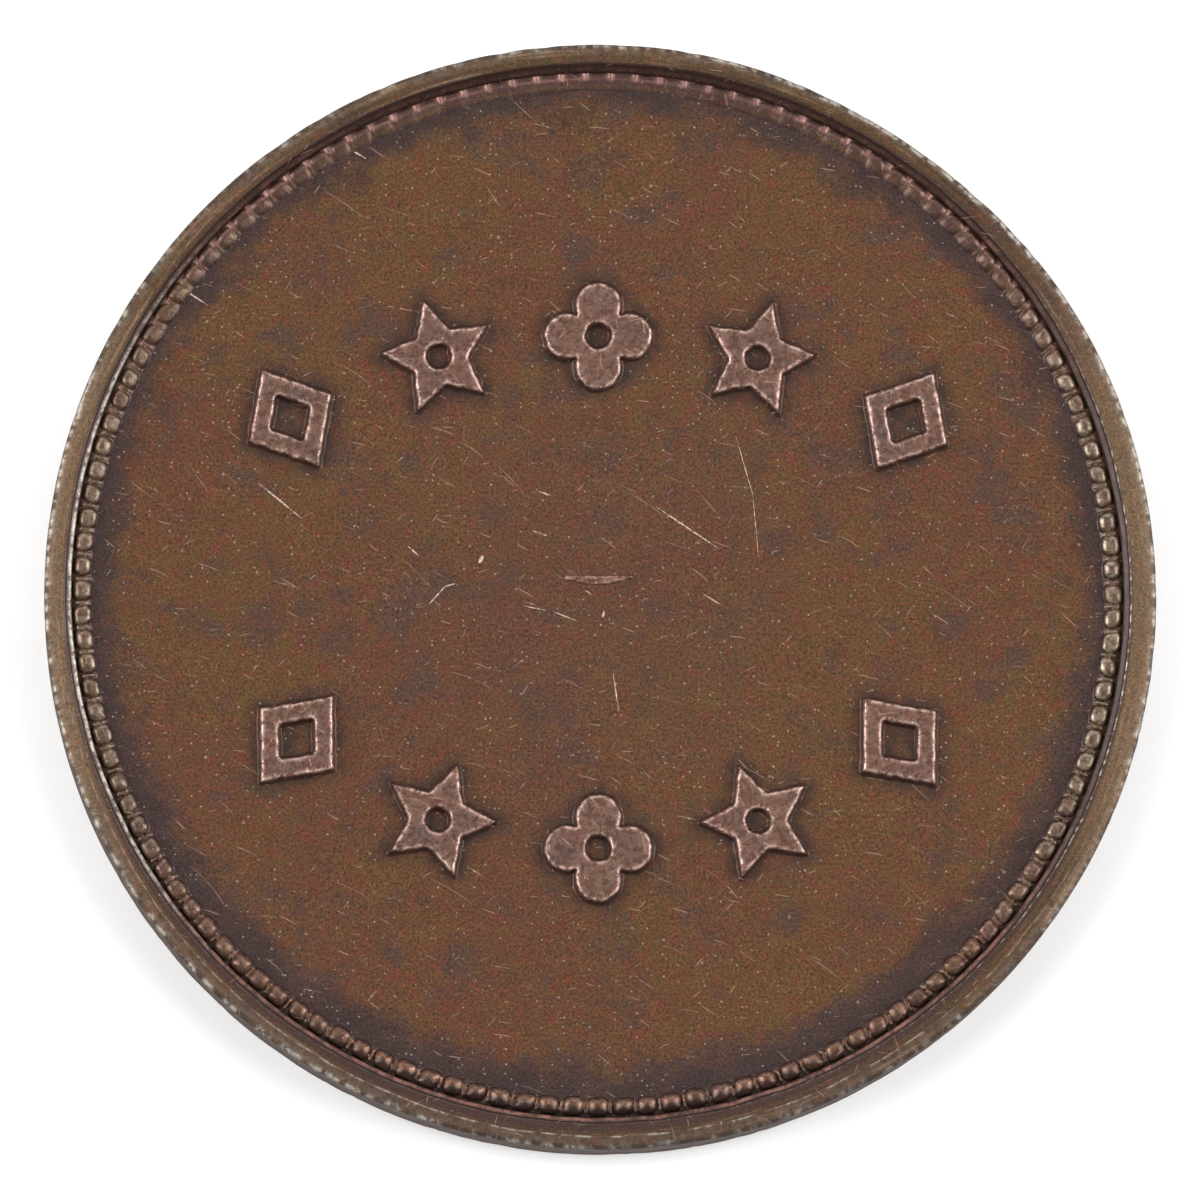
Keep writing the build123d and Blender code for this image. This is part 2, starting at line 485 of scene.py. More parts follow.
def toneField(tree, look, here, shade):
    # Purple toning towards the border, with a ragged inner edge
    ragged = noiseAt(tree, here["Point"], 1.3, 5.0, 0.65)
    edge = plus(tree, here["Radius"], timesPlus(tree, ragged, toning["ragged"], -toning["ragged"] / 2))
    toned = timesPlus(tree, axes(tree, here["Around"])[1], -toning["atFoot"], edge)
    toned = ease(tree, toned, toning["inner"], toning["outer"], 0.0, look["border"])
    shade = blendColour(tree, toned, shade, bronze["borderTone"])
    # Nearly black smudges here and there along it
    smudge = noiseAt(tree, here["Point"], 0.8, 6.0, 0.72, shift=(17.0, 5.0, 2.0))
    smudge = timesPlus(tree, smudge, toning["smudgeRagged"], -toning["smudgeRagged"] / 2)
    smudge = plus(tree, here["Radius"], smudge)
    smudge = ease(tree, smudge, toning["smudgeInner"], toning["smudgeOuter"], 0.0, toning["smudgeShare"])
    shade = blendColour(tree, smudge, shade, bronze["dark"])
    centre = ease(tree, edge, toning["centreOuter"], toning["centreInner"], 0.0, toning["centreShare"])
    return blendColour(tree, centre, shade, look["centreTone"])


def rubStreaks(tree, look, here, shade):
    # Fine rubbed streaks that follow the rim round
    across, upwards, _ = axes(tree, here["Around"])
    lift = times(tree, plus(tree, here["Radius"], axes(tree, here["Point"])[2]), 9.0)
    spot = vectorMaths(tree, "ADD", scaleVector(tree, here["Around"], 5.0), joinAxes(tree, {2: lift}))
    streak = noiseAt(tree, spot, 1.0, 4.0, 0.62)
    shade = blendColour(tree, ease(tree, streak, 0.52, 0.72, 0.0, look["streaks"]), shade, look["streakTone"])
    shade = blendColour(tree, ease(tree, streak, 0.45, 0.28, 0.0, look["streaks"]), shade, bronze["dark"])
    # Painted light makes the rim lighter at the two sides of the token. It is darker at the foot of the design
    sides = ease(tree, maths(tree, "ABSOLUTE", across), 0.80, 0.98, 0.0, look["sideLift"])
    shade = blendColour(tree, sides, shade, look["streakTone"])
    shade = blendColour(tree, ease(tree, upwards, -0.6, -0.95, 0.0, look["footDrop"]), shade, look["innerTone"])
    # Its inner band is darker and redder, and wider at the foot
    foot = maths(tree, "MAXIMUM", times(tree, upwards, -1.0), 0.0)
    reach = timesPlus(tree, foot, -0.13, here["Radius"])
    shade = blendColour(tree, ease(tree, reach, 12.05, 11.98, 0.0, look["inner"]), shade, look["innerTone"])
    return shade, streak


def markMask(tree, point):
    # The front's long marks, broken up along their length
    masks = []
    for start, finish, width in fieldMarks:
        values = {"Point": point, "Start": (*start, 0.0), "Finish": (*finish, 0.0), "Half Width": width}
        masks.append(placeGroup(tree, markEffect, values)["Mask"])
    onFront = ease(tree, axes(tree, point)[2], 0.0, 0.2)
    broken = ease(tree, noiseAt(tree, point, 11.0, 3.0, 0.7), 0.38, 0.58, 0.15, 1.0)
    return times(tree, times(tree, largest(tree, masks), onFront), broken)


def speckMask(tree, point, cells, radius, share):
    values = {"Point": point, "Cells": cells, "Radius": radius, "Share": share}
    return placeGroup(tree, speckEffect, values)["Mask"]


def wearAndHighlightColour(tree, look, here):
    # Colour of the rubbed and highlighted metal: a painted silvery highlight at the two sides of the token, where
    # the lamps stand, and pink elsewhere
    across = axes(tree, here["Around"])[0]
    sideways = maths(tree, "ABSOLUTE", across)
    shade = blendColour(tree, ease(tree, sideways, 0.72, 0.97), look["wearTone"], look["sideTone"])
    if look.get("crease"):
        # On the rim it is pale from the step outwards, and pale on the bevel at the left as a painted highlight
        bevel = times(tree, ease(tree, across, -0.70, -0.94), ease(tree, here["Radius"], 11.94, 11.91))
        shade = blendColour(tree, bevel, shade, bronze["crease"])
        shade = blendColour(tree, ease(tree, here["Radius"], 11.955, 11.975), shade, bronze["crease"])
    return shade


def toneEdge(tree, look, point, shade):
    # The struck edge is greyer, with dark and light patches
    tone = ease(tree, noiseAt(tree, point, 3.0, 4.0, 0.65), 0.30, 0.70)
    tone = blendColour(tree, tone, bronze["edgeGrey"], look["brown"])
    patches = ease(tree, noiseAt(tree, point, 5.5, 4.0, 0.75), 0.38, 0.64, 0.0, 0.85)
    tone = blendColour(tree, patches, tone, bronze["dark"])
    return blendColour(tree, times(tree, kept(tree, "side"), look["side"]), shade, tone)


def makeBronze(name, look):
    # One bronze finish. look holds the values that differ from piece to piece
    material, tree, shader = startMaterial(name, bronze["metallic"], look["roughness"])
    shader.inputs["Coat Weight"].default_value = bronze["coat"]
    shader.inputs["Coat Roughness"].default_value = bronze["coatRoughness"]
    here = placeGroup(tree, placeEffect)
    point = here["Point"]
    values = {"Point": point, "Brown": look["brown"], "Olive": look["olive"], "Red Brown": look["redBrown"]}
    values.update({"Purple Grey": look["purpleGrey"], "Olive Share": look["oliveShare"]})
    patina = placeGroup(tree, patinaEffect, values)
    shade = patina["Color"]
    height = times(tree, patina["Grain"], look["grainDepth"])

    if "toned" in look:
        shade = toneBeads(tree, look, shade)
    if "border" in look:
        shade = toneField(tree, look, here, shade)
    if "streaks" in look:
        shade, streak = rubStreaks(tree, look, here, shade)
        height = timesPlus(tree, streak, look["grainDepth"] * 1.5, height)
    values = {"Color": shade, "Point": point, "Grain": patina["Grain"], "Amount": look["grain"]}
    shade = placeGroup(tree, grainEffect, values)["Color"]
    # Painted shade round the relief, in the rim's steps and groove and between the beads, with some dirt, broken
    # into patches
    patchy = ease(tree, noiseAt(tree, point, 1.7, 5.0, 0.7), 0.35, 0.60, look["haloLow"], look["halo"])
    shade = blendColour(tree, times(tree, kept(tree, "halo"), patchy), shade, bronze["dark"])

    # Scratches, paler in some places than in others
    layers = [{"Point": point, **dict(zip(hairlineValues, layer))} for layer in look["hairlines"]]
    scratch = largest(tree, [placeGroup(tree, hairlineEffect, layer)["Mask"] for layer in layers])
    brightening = ease(tree, noiseAt(tree, point, 1.6, 3.0, 0.6), 0.40, 0.62, 0.35, 1.0)
    scratchLevel = times(tree, times(tree, scratch, look["scratchLight"]), brightening)
    shade = blendColour(tree, scratchLevel, shade, bronze["copper"])
    if "markLight" in look:
        marks = markMask(tree, point)
        shade = blendColour(tree, times(tree, marks, look["markLight"]), shade, bronze["pale"])
        scratch = largest(tree, [scratch, marks])

    # Dark pits and pale specks
    coarse = speckMask(tree, point, 2.6, look["speckRadius"], 0.75)
    fine = speckMask(tree, point, 8.5, look["speckRadius"] * 0.7, 0.5)
    speck = largest(tree, [coarse, fine])
    pits = speckMask(tree, vectorMaths(tree, "ADD", point, (3.3, 8.1, 0.7)), 4.5, 0.05, 0.6)
    shade = blendColour(tree, times(tree, pits, 0.55), shade, bronze["dark"])
    shade = blendColour(tree, times(tree, speck, look["speckLight"]), shade, bronze["pale"])

    # Rubbed high spots where the toning has gone and the metal shows, and painted highlights along shoulders,
    # bevels and bead crowns
    rub = noiseAt(tree, point, 6.5, 4.0, 0.75)
    wearAndHighlightMask = times(tree, kept(tree, "wear"), ease(tree, rub, look["rubLow"], look["rubHigh"], 0.12, 1.0))
    shade = blendColour(tree, times(tree, wearAndHighlightMask, look["wear"]), shade, wearAndHighlightColour(tree, look, here))
    if "tipTone" in look:
        tipped = times(tree, kept(tree, "tip"), ease(tree, rub, 0.30, 0.52, 0.35, 0.95))
        shade = blendColour(tree, tipped, shade, look["tipTone"])
    if "side" in look:
        shade = toneEdge(tree, look, point, shade)
    tree.links.new(shade, shader.inputs["Base Color"])

    roughness = ease(tree, patina["Cloud"], 0.3, 0.7, look["roughness"] - 0.06, look["roughness"] + 0.08)
    roughness = timesPlus(tree, largest(tree, [wearAndHighlightMask, scratchLevel]), -bronze["smoother"], roughness)
    if "side" in look:
        # The struck edge is duller than the faces
        side = kept(tree, "side")
        roughness = timesPlus(tree, side, bronze["edgeRoughness"], roughness)
        metallic = timesPlus(tree, side, bronze["edgeMetallic"], bronze["metallic"])
        tree.links.new(metallic, shader.inputs["Metallic"])
        tree.links.new(timesPlus(tree, side, bronze["edgeCoat"], bronze["coat"]), shader.inputs["Coat Weight"])
    tree.links.new(roughness, shader.inputs["Roughness"])
    height = timesPlus(tree, scratch, -0.45, height)
    height = timesPlus(tree, speck, 0.5, height)
    values = {"Strength": look["bump"], "Distance": bronze["bumpDistance"] * mm, "Height": height}
    tree.links.new(addNode(tree, "ShaderNodeBump", values).outputs[0], shader.inputs["Normal"])
    return material


finishes = {
    "field": {
        "brown": tint(89, 54, 31), "olive": tint(90, 62, 27), "redBrown": tint(100, 50, 30),
        "purpleGrey": tint(68, 49, 44), "oliveShare": 0.6, "border": 0.92, "centreTone": tint(84, 53, 40),
        "roughness": 0.54, "grain": 0.68, "grainDepth": 0.5, "bump": 0.55, "halo": 0.8, "haloLow": 0.15,
        "hairlines": fieldHairlines, "scratchLight": 0.5, "markLight": 0.75,
        "speckRadius": 0.040, "speckLight": 0.82, "side": 0.9,
        "wear": 0.3, "rubLow": 0.4, "rubHigh": 0.6,
        "wearTone": bronze["copper"], "sideTone": bronze["copper"],
    },
    "rim": {
        "brown": tint(80, 54, 31), "olive": tint(75, 57, 26), "redBrown": tint(96, 54, 34),
        "purpleGrey": tint(66, 48, 38), "oliveShare": 0.5, "inner": 0.85, "innerTone": tint(60, 39, 35),
        "streaks": 0.8, "streakTone": tint(128, 102, 76), "sideLift": 0.45, "footDrop": 0.35,
        "roughness": 0.56, "grain": 0.46, "grainDepth": 0.4, "bump": 0.85, "halo": 0.95, "haloLow": 0.8,
        "hairlines": reliefHairlines, "scratchLight": 0.4,
        "speckRadius": 0.028, "speckLight": 0.5, "side": 0.8,
        "wear": 0.8, "rubLow": 0.38, "rubHigh": 0.58, "crease": True,
        "wearTone": tint(150, 104, 92), "sideTone": tint(66, 60, 60),
    },
    "relief": {
        "brown": tint(91, 59, 45), "olive": tint(89, 61, 41), "redBrown": tint(98, 57, 45),
        "purpleGrey": tint(66, 46, 43), "oliveShare": 0.3,
        "roughness": 0.48, "grain": 0.56, "grainDepth": 0.5, "bump": 0.5, "halo": 0.75, "haloLow": 0.3,
        "hairlines": reliefHairlines, "scratchLight": 0.5, "speckRadius": 0.028, "speckLight": 0.5,
        "wear": 0.95, "rubLow": 0.42, "rubHigh": 0.57,
        "wearTone": tint(206, 172, 160), "sideTone": tint(206, 172, 160),
    },
    "bead": {
        "brown": tint(88, 62, 42), "olive": tint(96, 74, 46), "redBrown": tint(98, 57, 46),
        "purpleGrey": tint(72, 50, 46), "oliveShare": 0.5, "toned": 0.95, "tipTone": tint(172, 126, 116),
        "roughness": 0.34, "grain": 0.34, "grainDepth": 0.5, "bump": 0.8, "halo": 0.95, "haloLow": 0.75,
        "hairlines": reliefHairlines, "scratchLight": 0.3, "speckRadius": 0.024, "speckLight": 0.55,
        "wear": 0.75, "rubLow": 0.40, "rubHigh": 0.60,
        "wearTone": tint(168, 124, 112), "sideTone": tint(184, 170, 150),
    },
}
finishes["dash"] = {
    **finishes["relief"], "rubLow": 0.40, "rubHigh": 0.58,
    "wearTone": tint(168, 130, 112), "sideTone": tint(168, 130, 112),
}
materials = {key: makeBronze(f"{key}Bronze", look) for key, look in finishes.items()}
print("finishes built")


ornaments = {
    "relief": 0.22,
    "sunk": 0.03,  # how far the undersides lie below the field
    "rays": 240,
    "waver": 0.006,  # of the outline
    "hollow": 0.010,  # of a worn top
    "lozenge": {"halfWidth": 1.12, "halfHeight": 1.32, "eyeShare": 0.42, "corner": 0.05},
    "star": {"points": 5, "tip": 1.4, "waist": 0.7, "eye": 0.24, "corner": 0.04},
    "rosette": {"lobes": 4, "lobe": 0.55, "distance": 0.7, "core": 0.35, "eye": 0.25},
    "row": ["lozengeLeft", "starLeft", "rosette", "starRight", "lozengeRight"],
    "arcs": {
        "upper": {"centreY": -7.85, "radius": 13.65, "step": 15.25, "tops": 1},
        "lower": {"centreY": 4.83, "radius": 10.61, "step": 19.8, "tops": -1},
    },
}


def roundCorners(corners, radius, steps=5):
    # Each corner becomes a short arc, inside or outside as the corner turns
    corners = np.array(corners, float)
    outline = []
    for index, corner in enumerate(corners):
        before = corners[index - 1] - corner
        after = corners[(index + 1) % len(corners)] - corner
        before, after = before / np.linalg.norm(before), after / np.linalg.norm(after)
        half = math.acos(np.clip(before @ after, -1, 1)) / 2
        middle = (before + after) / np.linalg.norm(before + after)
        centre = corner + middle * radius / math.sin(half)
        start = corner + before * radius / math.tan(half) - centre
        finish = corner + after * radius / math.tan(half) - centre
        for step in range(steps + 1):
            ray = start + (finish - start) * step / steps
            outline.append(centre + ray / np.linalg.norm(ray) * radius)
    return np.array(outline)


def circleOutline(radius, count=72):
    turn = np.arange(count) * 2 * math.pi / count
    return np.column_stack((radius * np.cos(turn), radius * np.sin(turn)))


def lozengeOutlines(look):
    tip = np.array((look["halfWidth"], look["halfHeight"]))
    corners = np.array([(1, 0), (0, 1), (-1, 0), (0, -1)]) * tip
    return roundCorners(corners, look["corner"]), roundCorners(corners * look["eyeShare"], look["corner"])


def starOutlines(look):
    corners = []
    for index in range(2 * look["points"]):
        radius = look["waist"] if index % 2 else look["tip"]
        turn = math.radians(90 + index * 180 / look["points"])
        corners.append((radius * math.cos(turn), radius * math.sin(turn)))
    return roundCorners(corners, look["corner"]), circleOutline(look["eye"])


def rosetteOutlines(look):
    # Along each ray, the furthest edge of the square core and the round lobes
    ray = circleOutline(1.0, 240)
    reach = look["core"] / np.abs(ray).max(1)
    for lobe in range(look["lobes"]):
        heading = lobe * 2 * math.pi / look["lobes"]
        centre = look["distance"] * np.array((math.cos(heading), math.sin(heading)))
        along = ray @ centre
        inside = look["lobe"] ** 2 - (centre @ centre - along**2)
        far = along + np.sqrt(np.maximum(inside, 0))
        reach = np.maximum(reach, np.where(inside > 0, far, 0))
    return ray * reach[:, None], circleOutline(look["eye"])


def outlineDistance(points, outline):
    # Distance to a closed outline, below zero inside it
    edge = np.roll(outline, -1, axis=0) - outline
    gap = points[:, None] - outline
    share = np.clip((gap * edge).sum(-1) / (edge**2).sum(-1), 0, 1)
    away = np.linalg.norm(gap - share[..., None] * edge, axis=-1).min(1)
    low, high = outline[:, 1], np.roll(outline[:, 1], -1)
    straddles = (low > points[:, 1:]) != (high > points[:, 1:])
    rise = np.where(edge[:, 1] == 0, 1, edge[:, 1])
    crossing = outline[:, 0] + (points[:, 1:] - low) * edge[:, 0] / rise
    inside = (straddles & (points[:, :1] < crossing)).sum(1) % 2 == 1
    return np.where(inside, -away, away)


def levelRing(outline, rays, level, reach):
    # Where the distance to the outline first passes the level, along each ray from the middle
    near, far = np.zeros(len(rays)), np.full(len(rays), reach)
    for _ in range(16):
        middle = (near + far) / 2
        outside = outlineDistance(rays * middle[:, None], outline) > level
        near, far = np.where(outside, near, middle), np.where(outside, middle, far)
    return rays * near[:, None]


# Flank section: distance inside the outline, share of the relief, wear with painted highlight, and painted shade
flank = [
    (-0.050, -0.040, 0.0, 1.0),
    (-0.024, 0.015, 0.0, 1.0),
    (-0.004, 0.080, 0.0, 0.9),
    (0.010, 0.200, 0.0, 0.7),
    (0.028, 0.430, 0.1, 0.4),
    (0.044, 0.660, 0.3, 0.2),
    (0.056, 0.820, 0.8, 0.0),
    (0.068, 0.915, 1.0, 0.0),
    (0.084, 0.972, 1.0, 0.0),
    (0.106, 0.996, 0.6, 0.0),
    (0.140, 1.000, 0.2, 0.0),
]


def ornamentRings(outer, eye, relief, rays):
    # From the toe up the flank, over the top, down into the eye and back under
    reach = np.linalg.norm(outer, axis=1).max() + 0.3
    rings, wear, halo = [], [], []
    for inset, share, rubbedAndLit, shadow in flank:
        ring = levelRing(outer, rays, -inset, reach)
        rings.append(np.column_stack((ring, np.full(len(ring), share * relief))))
        wear.append(np.full(len(ring), rubbedAndLit))
        halo.append(np.full(len(ring), shadow))
    eyeRings = []
    for inset, share, rubbedAndLit, shadow in flank[::-1]:
        ring = levelRing(eye, rays, inset, reach)
        eyeRings.append((np.column_stack((ring, np.full(len(ring), share * relief))), rubbedAndLit, shadow))
    top, inner = rings[-1], eyeRings[0][0]
    for step in (0.25, 0.5, 0.75):
        rings.append(top + (inner - top) * step)
        wear.append(np.full(len(top), 0.12))
        halo.append(np.zeros(len(top)))
    for ring, rubbedAndLit, shadow in eyeRings:
        rings.append(ring)
        wear.append(np.full(len(top), rubbedAndLit * 0.8))
        halo.append(np.full(len(top), shadow))
    for edge in (rings[-1], rings[0]):
        under = edge.copy()
        under[:, 2] = -ornaments["sunk"]
        rings.append(under)
        wear.append(np.zeros(len(top)))
        halo.append(np.ones(len(top)))
    return rings, wear, halo


def makeRays(count):
    turn = math.pi / 2 + np.arange(count) * 2 * math.pi / count
    return np.column_stack((np.cos(turn), np.sin(turn)))


outlines = {
    "lozenge": lozengeOutlines(ornaments["lozenge"]),
    "star": starOutlines(ornaments["star"]),
    "rosette": rosetteOutlines(ornaments["rosette"]),
}
rays = makeRays(ornaments["rays"])
punches = {
    shape: ornamentRings(outer, eye, ornaments["relief"], rays) for shape, (outer, eye) in outlines.items()
}


def slotSpot(arc, slot):
    # x, y and turn of one ornament's slot, from the flan's axis
    look = ornaments["arcs"][arc]
    angle = math.radians(slot * look["step"])
    x = token["dieCentre"][0] + look["radius"] * math.sin(angle)
    y = token["dieCentre"][1] + look["centreY"] + look["tops"] * look["radius"] * math.cos(angle)
    return x, y, -look["tops"] * angle


def stand(ring, x, y, turn):
    # Turns and moves a ring of the punch to its slot, and lifts it to the field
    moved = ring.copy()
    moved[:, 0] = x + ring[:, 0] * math.cos(turn) - ring[:, 1] * math.sin(turn)
    moved[:, 1] = y + ring[:, 0] * math.sin(turn) + ring[:, 1] * math.cos(turn)
    moved[:, 2] = ring[:, 2] + token["fieldHeight"]
    return moved


slots = []  # arc, place name, shape, x, y, turn
for arc in ornaments["arcs"]:
    for index, placeName in enumerate(ornaments["row"]):
        shape = placeName.replace("Left", "").replace("Right", "")
        slots.append((arc, placeName, shape, *slotSpot(arc, index - 2)))


def nodeName(side, arc, placeName):
    tail = placeName.replace("Left", "_left").replace("Right", "_right")
    return f"{side}_{arc}_{tail}"


def makeOrnaments(side):
    for index, (arc, placeName, shape, x, y, turn) in enumerate(slots):
        seed = 400 + index + (50 if side == "back" else 0)
        rings, wear, halo = punches[shape]
        shaped = []
        for ring in rings:
            moved = stand(ring, x, y, turn)
            # A worn top is a little hollow and uneven, and the outline wavers by a hair
            topped = np.clip(ring[:, 2] / ornaments["relief"], 0, 1)
            uneven = ripple(moved[:, 0], moved[:, 1], 0.55, 9, seed)
            dents = np.clip(ripple(moved[:, 0], moved[:, 1], 0.22, 12, seed + 7) - 0.9, 0, 1)
            moved[:, 2] -= topped**2 * (ornaments["hollow"] + 0.006 * uneven + 0.018 * dents)
            moved[:, 0] += ornaments["waver"] * ripple(moved[:, 0], moved[:, 1], 0.35, 8, seed + 20)
            moved[:, 1] += ornaments["waver"] * ripple(moved[:, 0], moved[:, 1], 0.35, 8, seed + 30)
            shaped.append(moved)
        name = f"{side}{arc.capitalize()}{placeName[0].upper()}{placeName[1:]}"
        piece = makePiece(name, shaped, side, {"wear": wear, "halo": halo}, 70.0)
        settle(piece, nodeName(side, arc, placeName), materials["relief"])


dash = {
    "length": 1.55,
    "topY": 0.105,
    "bottomY": -0.11,
    "relief": 0.055,
    "middle": (0.02, 0.29),  # from the die's centre
    "rays": 160,
    "corner": 0.012,
    # Flank section: distance inside the outline, share of the relief, wear with painted highlight
    "flank": [
        (-0.02, -0.2, 0),
        (-0.008, 0.08, 0.2),
        (0.004, 0.4, 0.4),
        (0.014, 0.72, 0.7),
        (0.026, 0.93, 0.9),
        (0.04, 1.0, 0.9),
    ],
}


def makeDash(side):
    # A flat top edge, and a lower one that is deepest in the middle
    half = dash["length"] / 2
    corners = [
        (half, dash["topY"] * 0.4),
        (half * 0.97, dash["topY"]),
        (-half * 0.98, dash["topY"] * 0.9),
        (-half, 0.0),
        (-0.25 * half, dash["bottomY"]),
        (0.3 * half, dash["bottomY"] * 0.9),
    ]
    outline = roundCorners(corners, dash["corner"], 4)
    heading = makeRays(dash["rays"]) * (half, -dash["bottomY"])
    heading /= np.linalg.norm(heading, axis=1)[:, None]
    x, y = (token["dieCentre"][axis] + dash["middle"][axis] for axis in (0, 1))
    rings, wear, halo = [], [], []
    for inset, share, rubbedAndLit in dash["flank"]:
        ring = levelRing(outline, heading, -inset, 1.2)
        rings.append(np.column_stack((ring, np.full(len(ring), share * dash["relief"]))))
        wear.append(np.full(len(ring), rubbedAndLit))
        halo.append(np.full(len(ring), 0.25 if inset < 0 else 0.0))
    top = rings[-1]
    for share in (0.6, 0.25):
        ring = top.copy()
        ring[:, :2] *= share
        rings.append(ring)
        wear.append(np.full(len(ring), 0.85))
        halo.append(np.zeros(len(ring)))
    under = rings[0].copy()
    under[:, 2] = -ornaments["sunk"]
    rings.insert(0, under)
    wear.insert(0, wear[0] * 0)
    halo.insert(0, halo[0])
    shaped = [stand(ring, x, y, 0.0) for ring in rings]
    for ring in shaped:
        lift = np.clip((ring[:, 2] - token["fieldHeight"]) / dash["relief"], 0, 1)
        ring[:, 2] -= 0.010 * lift * (1 + ripple(ring[:, 0], ring[:, 1], 0.16, 10, 71))
    piece = makePiece(f"{side}MiddleDash", shaped, side, {"wear": wear, "halo": halo}, 70.0, closed=False)
    settle(piece, f"{side}_centre_dash", materials["dash"])


flan = {
    "ringStep": 0.2,
    "turns": 720,
    "sway": 0.0045,  # slow unevenness of the struck field
    "reliefHalo": 0.42,  # how far the painted shade and the toning reach from the relief
}


def reliefDistance(x, y):
    # Distance from points of the field to the nearest ornament
    points = np.column_stack((x, y))
    nearest = np.full(len(points), token["radius"])
    for arc, placeName, shape, slotX, slotY, turn in slots:
        local = points - (slotX, slotY)
        close = np.linalg.norm(local, axis=1) < 2.4
        if not close.any():
            continue
        local = local[close]
        turned = np.column_stack((
            local[:, 0] * math.cos(turn) + local[:, 1] * math.sin(turn),
            local[:, 1] * math.cos(turn) - local[:, 0] * math.sin(turn),
        ))
        nearest[close] = np.minimum(nearest[close], outlineDistance(turned, outlines[shape][0]))
    return nearest


def fieldRings(side):
    # The struck field, from its middle out to the outline, and the shadow round its relief
    rings, halo = [], []
    seed = 11 if side == "front" else 12
    radii = np.concatenate((np.arange(0.15, 12.3, flan["ringStep"]), [token["radius"]]))
    for radius in radii:
        share = 8 if radius < 1.4 else 4 if radius < 3 else 2 if radius < 6 else 1
        count = flan["turns"] // share
        angle = np.arange(count) * 2 * math.pi / count
        reach = np.full(count, radius)
        if radius == token["radius"]:
            reach = radius - edgeLoss(signs[side] * angle)
        x, y = reach * np.cos(angle), reach * np.sin(angle)
        sway = ripple(x, y, 3.2, 10, seed) + 0.5 * ripple(x, y, 1.1, 12, seed + 5)
        fade = smoothStep(radius, 11.9, 11.2)
        height = token["fieldHeight"] + fade * flan["sway"] * (sway - 1.2)
        away = reliefDistance(x, y)
        rings.append(np.column_stack((x, y, height)))
        halo.append(smoothStep(away, flan["reliefHalo"], 0.0))
    return rings, halo


def makeFlan():
    frontRings, frontShadeAndDirt = fieldRings("front")
    backRings, backShadeAndDirt = fieldRings("back")
    count = flan["turns"]
    angle = np.arange(count) * 2 * math.pi / count
    reach = token["radius"] - edgeLoss(angle)
    wall = []
    for share in np.linspace(1, -1, 9):
        height = np.full(count, share * token["fieldHeight"])
        dent = 0.004 * np.clip(1 + ripple(12 * angle, 3 * height, 2.0, 12, 31), 0, 3) * (1 - share**4)
        across, up = (reach - dent) * np.cos(angle), (reach - dent) * np.sin(angle)
        wall.append(np.column_stack((across, up, height)))
    # The back field's rings are turned over about X, to share the wall's frame
    flipped = []
    for ring in backRings[::-1]:
        turned = ring.copy()
        turned[:, 1:] *= -1
        flipped.append(np.roll(turned[::-1], 1, axis=0))
    rings = frontRings + wall + flipped
    plain = [np.zeros(len(ring)) for ring in rings]
    flippedShadeAndDirt = [np.roll(value[::-1], 1) for value in backShadeAndDirt[::-1]]
    marks = {
        "wear": plain,
        "halo": frontShadeAndDirt + [np.zeros(count)] * len(wall) + flippedShadeAndDirt,
        "side": plain[: len(frontRings)] + [np.ones(count)] * len(wall) + plain[-len(flipped) :],
    }
    piece = makePiece("struckFlan", rings, "front", marks, 40.0, closed=False)
    settle(piece, "flan", materials["field"])


rim = {
    "turns": 1440,
    "nicks": 90,
    "nickDepth": (0.008, 0.045),
    "nickLength": (0.12, 0.6),
    "cornerCentre": 12.40,
    "cornerRadius": 0.10,
    "cornerTop": 0.309,
    "landInner": 12.215,
    "landHeight": 0.3162,
    "underRadius": 12.2,
}

# Section about the die's centre: radius, height over the field, wear with painted highlight, painted shade in the
# steps and the groove
rimDieRun = [
    (11.790, -0.020, 0.0, 0.8), (11.805, 0.010, 0.0, 0.7), (11.815, 0.060, 0.0, 0.6),
    (11.823, 0.110, 0.0, 0.5), (11.832, 0.155, 0.3, 0.2), (11.842, 0.178, 1.0, 0.0),
    (11.856, 0.190, 1.0, 0.0), (11.875, 0.200, 1.0, 0.0), (11.895, 0.208, 0.8, 0.0),
    (11.915, 0.216, 0.4, 0.0), (11.931, 0.222, 0.1, 0.4), (11.943, 0.228, 0.0, 0.8),
    (11.951, 0.240, 0.0, 0.9), (11.957, 0.262, 0.0, 0.8), (11.963, 0.280, 0.0, 0.5),
    (11.972, 0.290, 0.08, 0.2), (11.985, 0.294, 0.05, 0.0), (12.010, 0.297, 0.0, 0.0),
]

# Section about the flan's axis: radius, height over the field, wear with a painted highlight on the crease
rimFlanRun = [
    (12.070, 0.299, 0.0), (12.120, 0.296, 0.0), (12.158, 0.292, 0.0), (12.168, 0.294, 0.1),
    (12.176, 0.301, 0.5), (12.184, 0.309, 1.0), (12.196, 0.313, 0.5), (12.215, 0.315, 0.15),
]


def makeNicks(angle, draw):
    # How deep the outer edge is nicked, all the way round
    nick = np.zeros(len(angle))
    for _ in range(rim["nicks"]):
        middle = draw.uniform(0, 2 * math.pi)
        depth = draw.uniform(*rim["nickDepth"]) * draw.uniform(0.4, 1.0)
        length = draw.uniform(*rim["nickLength"]) / token["radius"]
        away = (angle - middle + math.pi) % (2 * math.pi) - math.pi
        nick = np.maximum(nick, depth * np.exp(-((2 * away / length) ** 2)))
    return nick


